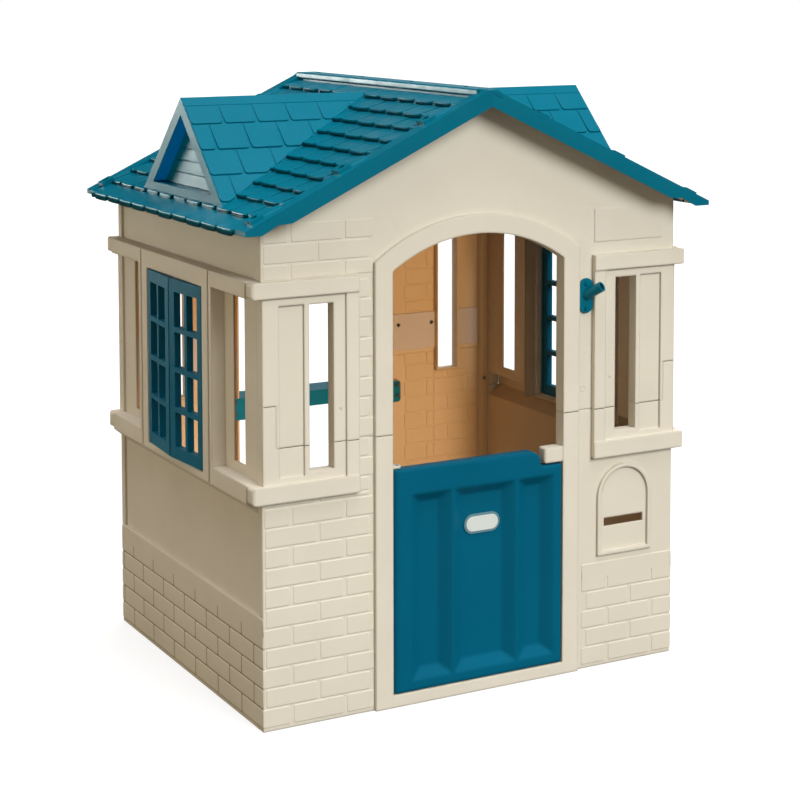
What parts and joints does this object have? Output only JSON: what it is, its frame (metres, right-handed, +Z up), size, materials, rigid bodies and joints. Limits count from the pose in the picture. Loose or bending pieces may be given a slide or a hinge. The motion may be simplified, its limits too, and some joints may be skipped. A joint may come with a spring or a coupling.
{
  "type": "plastic playhouse",
  "caption": "Child-size moulded plastic cottage with shingled roof and dormers, brick-patterned walls, arched doorway with a half door, side shutters and a mail slot.",
  "frame": {"origin": "centre of the footprint, on the ground", "axes": "+X right seen from the front, +Y towards the back wall, +Z up; the doorway with the half door faces -Y"},
  "size_m": [1.1, 0.892, 1.27],
  "materials": {
    "wall_plastic": "warm beige moulded polyethylene, satin",
    "roof_plastic": "teal blue moulded polyethylene, satin",
    "trim_plastic": "deep blue moulded polyethylene, satin",
    "badge_plastic": "blank pale badge with a blue border",
    "screw_steel": "zinc-plated pan-head screws"
  },
  "bodies": {
    "house": {"front_wall_lower": "wall_plastic", "front_wall_upper": "wall_plastic", "back_wall_lower": "wall_plastic", "back_wall_upper": "wall_plastic", "left_wall": "wall_plastic", "right_wall": "wall_plastic", "roof_left": "roof_plastic", "roof_right": "roof_plastic", "counter_bar": "trim_plastic", "flag_holder": "roof_plastic", "front_seam_screws": "screw_steel", "back_seam_screws": "screw_steel", "front_corner_screws": "screw_steel", "back_corner_screws": "screw_steel", "roof_left_screws": "screw_steel", "roof_right_screws": "screw_steel", "ridge_screws": "screw_steel", "counter_screws": "screw_steel", "flag_holder_screws": "screw_steel"},
    "half_door": {"front_door": "trim_plastic", "door_badge": "badge_plastic"},
    "right_front_shutter": {"shutter_right_front": "trim_plastic"},
    "right_back_shutter": {"shutter_right_back": "trim_plastic"},
    "left_front_shutter": {"shutter_left_front": "trim_plastic"},
    "left_back_shutter": {"shutter_left_back": "trim_plastic"}
  },
  "joints": [
    {"name": "door_hinge", "type": "hinge", "parent": "house", "child": "half_door", "pos_m": [-0.1905, -0.386, 0.028], "axis": [0, 0, -1], "range_deg": [0, 95]},
    {"name": "right_front_shutter_hinge", "type": "hinge", "parent": "house", "child": "right_front_shutter", "pos_m": [0.512, -0.146, 0.478], "axis": [0, 0, -1], "range_deg": [-4.5, 86]},
    {"name": "right_back_shutter_hinge", "type": "hinge", "parent": "house", "child": "right_back_shutter", "pos_m": [0.512, 0.146, 0.478], "axis": [0, 0, 1], "range_deg": [-4.5, 86]},
    {"name": "left_front_shutter_hinge", "type": "hinge", "parent": "house", "child": "left_front_shutter", "pos_m": [-0.512, -0.146, 0.478], "axis": [0, 0, 1], "range_deg": [-4.5, 86]},
    {"name": "left_back_shutter_hinge", "type": "hinge", "parent": "house", "child": "left_back_shutter", "pos_m": [-0.512, 0.146, 0.478], "axis": [0, 0, -1], "range_deg": [-4.5, 86]}
  ]
}
